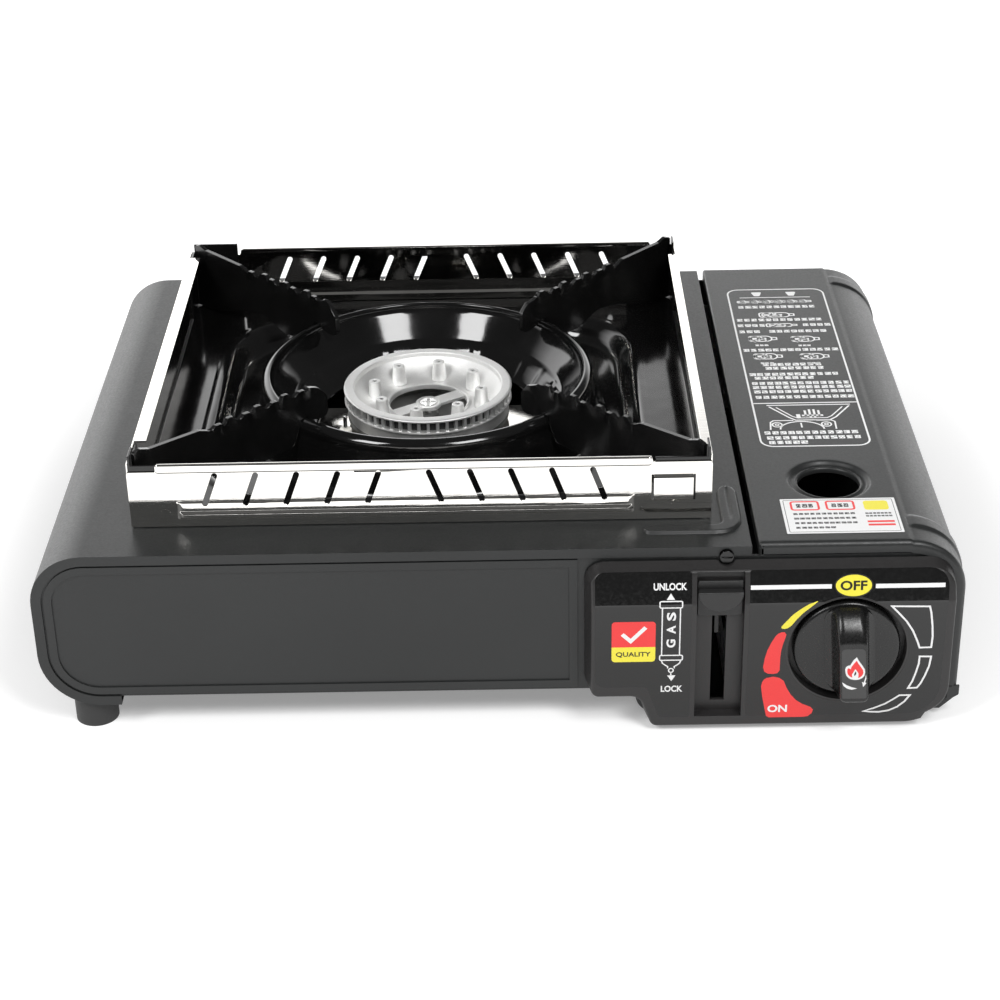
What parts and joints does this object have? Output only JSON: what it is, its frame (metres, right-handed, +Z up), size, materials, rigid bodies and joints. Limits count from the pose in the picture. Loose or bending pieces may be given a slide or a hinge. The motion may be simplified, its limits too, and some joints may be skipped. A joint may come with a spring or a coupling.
{
  "type": "butane cassette stove",
  "caption": "Flat tabletop gas stove with a hinged canister bay, rotary igniter knob, lock lever, drip pan, round burner and lift-off windshield with pot supports.",
  "frame": {"origin": "centre of the footprint, in the plane of the feet", "axes": "+X to the right, towards the canister bay; +Y to the rear, away from the knob; +Z up"},
  "size_m": [0.34, 0.2694, 0.105],
  "materials": {
    "body_paint": "semi-matt dark grey-black textured paint",
    "zinc_steel": "zinc-plated pressed steel",
    "screw_steel": "bright plated steel",
    "foot_rubber": "matt black rubber",
    "pan_enamel": "glossy black enamel",
    "polished_steel": "polished stainless steel",
    "trivet_enamel": "satin black enamel",
    "burner_aluminium": "die-cast, blasted",
    "tube_steel": "plain drawn steel",
    "gas_brass": "turned brass and copper-coloured pipe",
    "panel_plastic": "black moulded plastic, satin",
    "igniter_plastic": "off-white plastic",
    "ceramic": "unglazed white ceramic"
  },
  "bodies": {
    "stove": {"body_wrap": "body_paint", "front_panel": "body_paint", "rear_panel": "body_paint", "base_plate": "body_paint", "bay_tray": "body_paint", "bay_divider": "zinc_steel", "foot_front_left": "foot_rubber", "foot_front_right": "foot_rubber", "foot_rear_left": "foot_rubber", "foot_rear_right": "foot_rubber", "foot_screws": "screw_steel", "hinge_rod": "zinc_steel", "burner_head": "burner_aluminium", "burner_base": "burner_aluminium", "burner_screw": "screw_steel", "burner_bracket": "zinc_steel", "bracket_screws": "screw_steel", "mixing_tube": "tube_steel", "air_shutter": "burner_aluminium", "gas_jet": "gas_brass", "gas_pipe": "gas_brass", "spark_electrode": "screw_steel", "electrode_insulator": "ceramic", "electrode_clip": "zinc_steel", "valve_body": "burner_aluminium", "regulator_body": "burner_aluminium", "regulator_cap": "burner_aluminium", "canister_collar": "zinc_steel", "inlet_nozzle": "gas_brass", "igniter_body": "igniter_plastic", "igniter_lead": "igniter_plastic", "control_panel": "panel_plastic", "panel_screws": "screw_steel"},
    "lid": {"canister_lid": "body_paint"},
    "knob": {"knob": "panel_plastic", "valve_stem": "screw_steel", "igniter_cam": "igniter_plastic"},
    "plunger": {"igniter_plunger": "screw_steel"},
    "lever": {"lever_thumb": "panel_plastic", "lever_plate": "zinc_steel"},
    "pusher": {"push_rod": "zinc_steel", "follower_pin": "screw_steel", "rear_pusher": "zinc_steel", "pusher_pad": "foot_rubber"},
    "pan": {"drip_pan": "pan_enamel", "pan_bowl": "pan_enamel"},
    "pot_rest": {"windshield_front": "polished_steel", "windshield_rear": "polished_steel", "windshield_left": "polished_steel", "windshield_right": "polished_steel", "trivet_front_left": "trivet_enamel", "trivet_front_right": "trivet_enamel", "trivet_rear_left": "trivet_enamel", "trivet_rear_right": "trivet_enamel", "corner_bracket_front_left": "trivet_enamel", "corner_bracket_front_right": "trivet_enamel", "corner_bracket_rear_left": "trivet_enamel", "corner_bracket_rear_right": "trivet_enamel", "corner_rivets": "screw_steel"}
  },
  "joints": [
    {"name": "lid_hinge", "type": "hinge", "parent": "stove", "child": "lid", "pos_m": [0.1668, 0.00925, 0.013], "axis": [0, 1, 0], "range_deg": [0, 75]},
    {"name": "knob_turn", "type": "hinge", "parent": "stove", "child": "knob", "pos_m": [0.1262, -0.11075, 0.0348], "axis": [0, -1, 0], "range_deg": [0, 120]},
    {"name": "plunger_push", "type": "slide", "parent": "stove", "child": "plunger", "axis": [-1, 0, 0], "range_m": [0, 0.003]},
    {"name": "lock_slide", "type": "slide", "parent": "stove", "child": "lever", "axis": [0, 0, -1], "range_m": [0, 0.03]},
    {"name": "push_slide", "type": "slide", "parent": "stove", "child": "pusher", "axis": [0, -1, 0], "range_m": [0, 0.004]},
    {"name": "pan_lift", "type": "slide", "parent": "stove", "child": "pan", "axis": [0, 0, 1], "range_m": [0, 0.06]},
    {"name": "pot_rest_lift", "type": "slide", "parent": "pan", "child": "pot_rest", "axis": [0, 0, 1], "range_m": [0, 0.06]}
  ],
  "couplings": [
    {"joint": "plunger_push", "follows": "knob_turn", "m_per_rad": 0.001432},
    {"joint": "push_slide", "follows": "lock_slide", "ratio": 0.13333}
  ]
}
